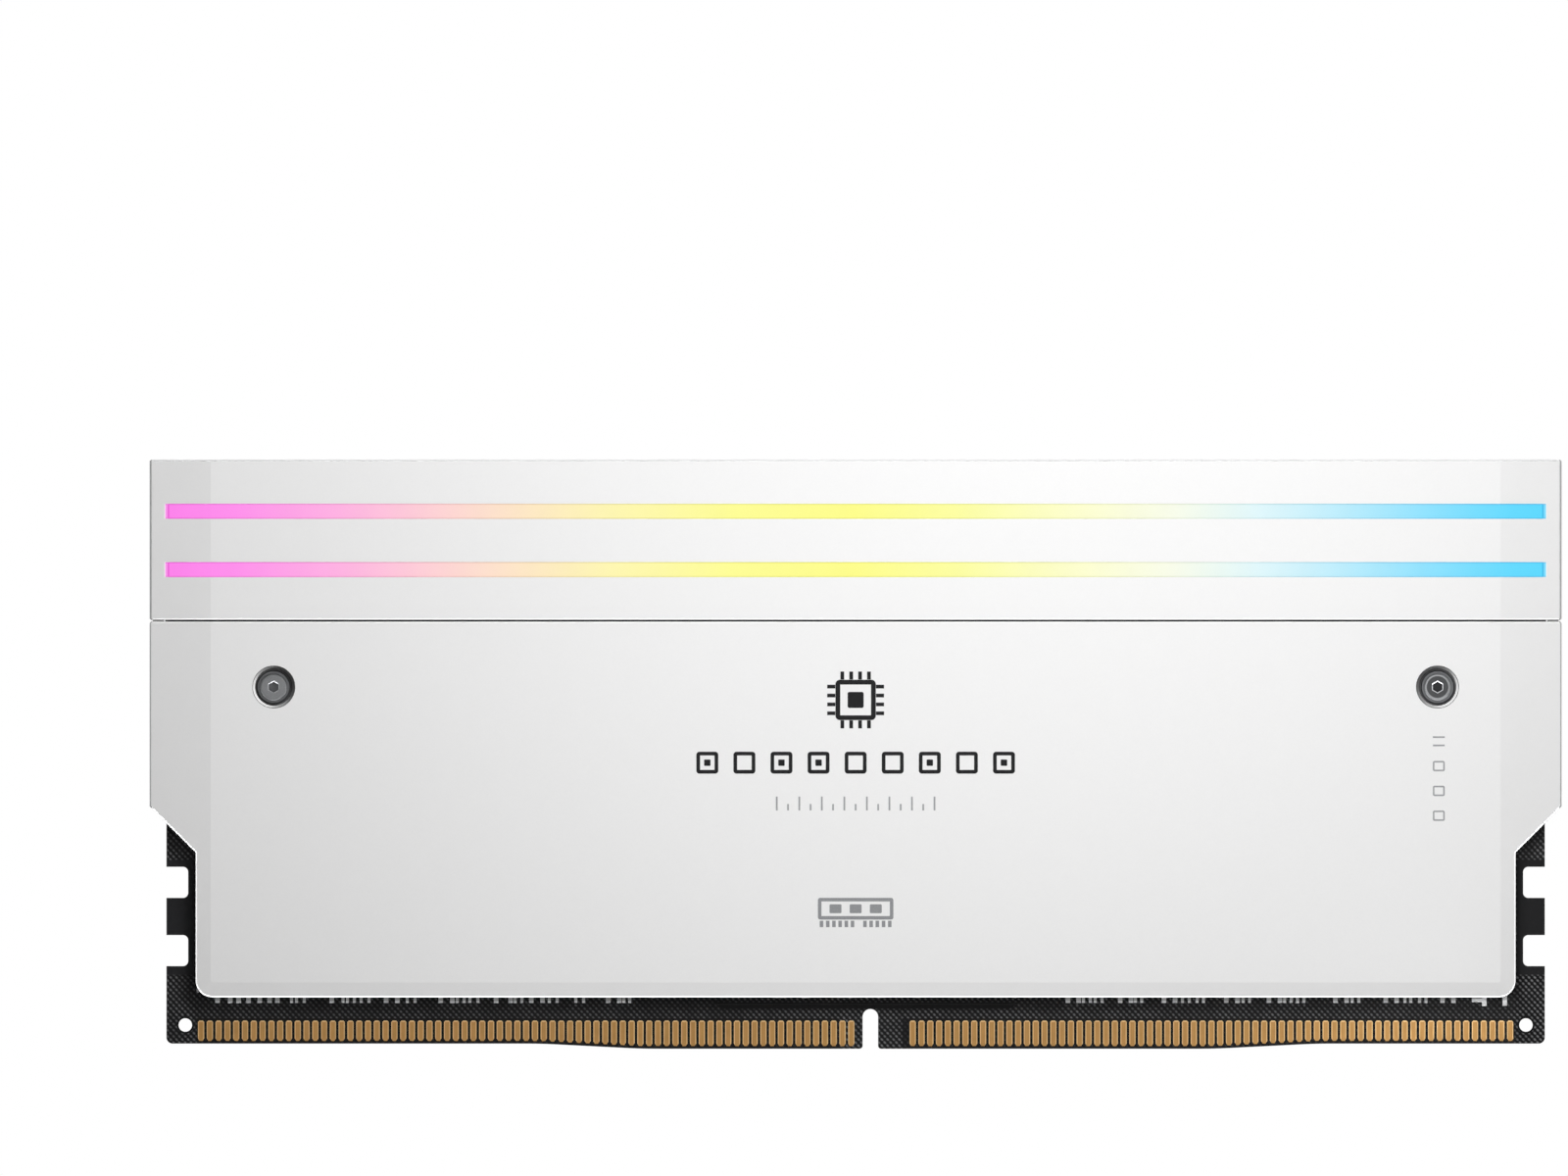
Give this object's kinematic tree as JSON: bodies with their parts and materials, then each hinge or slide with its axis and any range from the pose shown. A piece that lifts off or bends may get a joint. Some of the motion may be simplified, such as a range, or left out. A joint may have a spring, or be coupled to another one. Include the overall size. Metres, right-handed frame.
{
  "type": "ram module",
  "caption": "Desktop memory module: board with edge contacts between two white heat spreaders, under a removable light bar with two lit slots on each face.",
  "frame": {"origin": "middle of the contact edge: centre of the board width, on the board mid-plane, at the lowest point of the board", "axes": "+X along the contact edge to the right seen from the front, +Y from the front face to the back face through the thickness, +Z away from the socket towards the light bar"},
  "size_m": [0.1366, 0.008, 0.057],
  "materials": {
    "white_paint": "satin white paint, fine grain",
    "board_mask": "black solder mask over laminate",
    "gold": "hard gold plating, slightly worn",
    "chip_moulding": "moulded epoxy",
    "inductor_ferrite": "pressed powder",
    "capacitor_ceramic": "sintered ceramic",
    "tin": "matte tin plating",
    "connector_plastic": "moulded nylon",
    "thermal_pad": "soft silicone pad",
    "label_film": "blank printed film",
    "standoff_steel": "turned steel",
    "dark_steel": "dark nickel plated steel",
    "light_diffuser": "milky diffuser, lit",
    "led_lens": "white lens package"
  },
  "bodies": {
    "module": {"contacts_back": "gold", "contacts_front": "gold", "decoupling_capacitors": "capacitor_ceramic", "dram_chip_1": "chip_moulding", "dram_chip_2": "chip_moulding", "dram_chip_3": "chip_moulding", "dram_chip_4": "chip_moulding", "dram_chip_5": "chip_moulding", "dram_chip_6": "chip_moulding", "dram_chip_7": "chip_moulding", "dram_chip_8": "chip_moulding", "heat_spreader_back": "white_paint", "heat_spreader_front": "white_paint", "label_back": "label_film", "light_controller": "chip_moulding", "light_socket": "connector_plastic", "light_socket_pins": "tin", "pcb": "board_mask", "pmic": "chip_moulding", "power_capacitors": "capacitor_ceramic", "power_inductors": "inductor_ferrite", "row_bodies_back": "capacitor_ceramic", "row_bodies_front": "capacitor_ceramic", "row_terminals_back": "tin", "row_terminals_front": "tin", "spd_hub": "chip_moulding", "standoff_left": "standoff_steel", "standoff_right": "standoff_steel", "thermal_pad_back": "thermal_pad", "thermal_pad_left": "thermal_pad", "thermal_pad_power": "thermal_pad", "thermal_pad_right": "thermal_pad"},
    "light_bar": {"light_bar_shell": "white_paint", "light_guide_front": "light_diffuser", "light_guide_back": "light_diffuser", "bar_frame": "connector_plastic", "frame_screws": "dark_steel", "led_board": "board_mask", "led_board_contacts": "gold", "leds_front": "led_lens", "leds_back": "led_lens", "led_capacitors": "capacitor_ceramic"},
    "washer_front_left": {"washer_front_left": "dark_steel"},
    "screw_front_left": {"screw_front_left": "dark_steel"},
    "washer_front_right": {"washer_front_right": "dark_steel"},
    "screw_front_right": {"screw_front_right": "dark_steel"},
    "washer_back_left": {"washer_back_left": "dark_steel"},
    "screw_back_left": {"screw_back_left": "dark_steel"},
    "washer_back_right": {"washer_back_right": "dark_steel"},
    "screw_back_right": {"screw_back_right": "dark_steel"}
  },
  "joints": [
    {"name": "light_bar_lift", "type": "slide", "parent": "module", "child": "light_bar", "axis": [0, 0, 1], "range_m": [0, 0.025]},
    {"name": "washer_front_left_slide", "type": "slide", "parent": "module", "child": "washer_front_left", "axis": [0, -1, 0], "range_m": [0, 0.0028]},
    {"name": "screw_front_left_turn", "type": "hinge", "parent": "washer_front_left", "child": "screw_front_left", "pos_m": [-0.0563, -0.00325, 0.035], "axis": [0, -1, 0], "range_deg": [0, 2880.5]},
    {"name": "washer_front_right_slide", "type": "slide", "parent": "module", "child": "washer_front_right", "axis": [0, -1, 0], "range_m": [0, 0.0028]},
    {"name": "screw_front_right_turn", "type": "hinge", "parent": "washer_front_right", "child": "screw_front_right", "pos_m": [0.0563, -0.00325, 0.035], "axis": [0, -1, 0], "range_deg": [0, 2880.5]},
    {"name": "washer_back_left_slide", "type": "slide", "parent": "module", "child": "washer_back_left", "axis": [0, 1, 0], "range_m": [0, 0.0028]},
    {"name": "screw_back_left_turn", "type": "hinge", "parent": "washer_back_left", "child": "screw_back_left", "pos_m": [-0.0563, 0.00325, 0.035], "axis": [0, 1, 0], "range_deg": [0, 2880.5]},
    {"name": "washer_back_right_slide", "type": "slide", "parent": "module", "child": "washer_back_right", "axis": [0, 1, 0], "range_m": [0, 0.0028]},
    {"name": "screw_back_right_turn", "type": "hinge", "parent": "washer_back_right", "child": "screw_back_right", "pos_m": [0.0563, 0.00325, 0.035], "axis": [0, 1, 0], "range_deg": [0, 2880.5]}
  ],
  "couplings": [
    {"joint": "screw_front_left_turn", "follows": "washer_front_left_slide", "rad_per_m": 17952},
    {"joint": "screw_front_right_turn", "follows": "washer_front_right_slide", "rad_per_m": 17952},
    {"joint": "screw_back_left_turn", "follows": "washer_back_left_slide", "rad_per_m": 17952},
    {"joint": "screw_back_right_turn", "follows": "washer_back_right_slide", "rad_per_m": 17952}
  ]
}
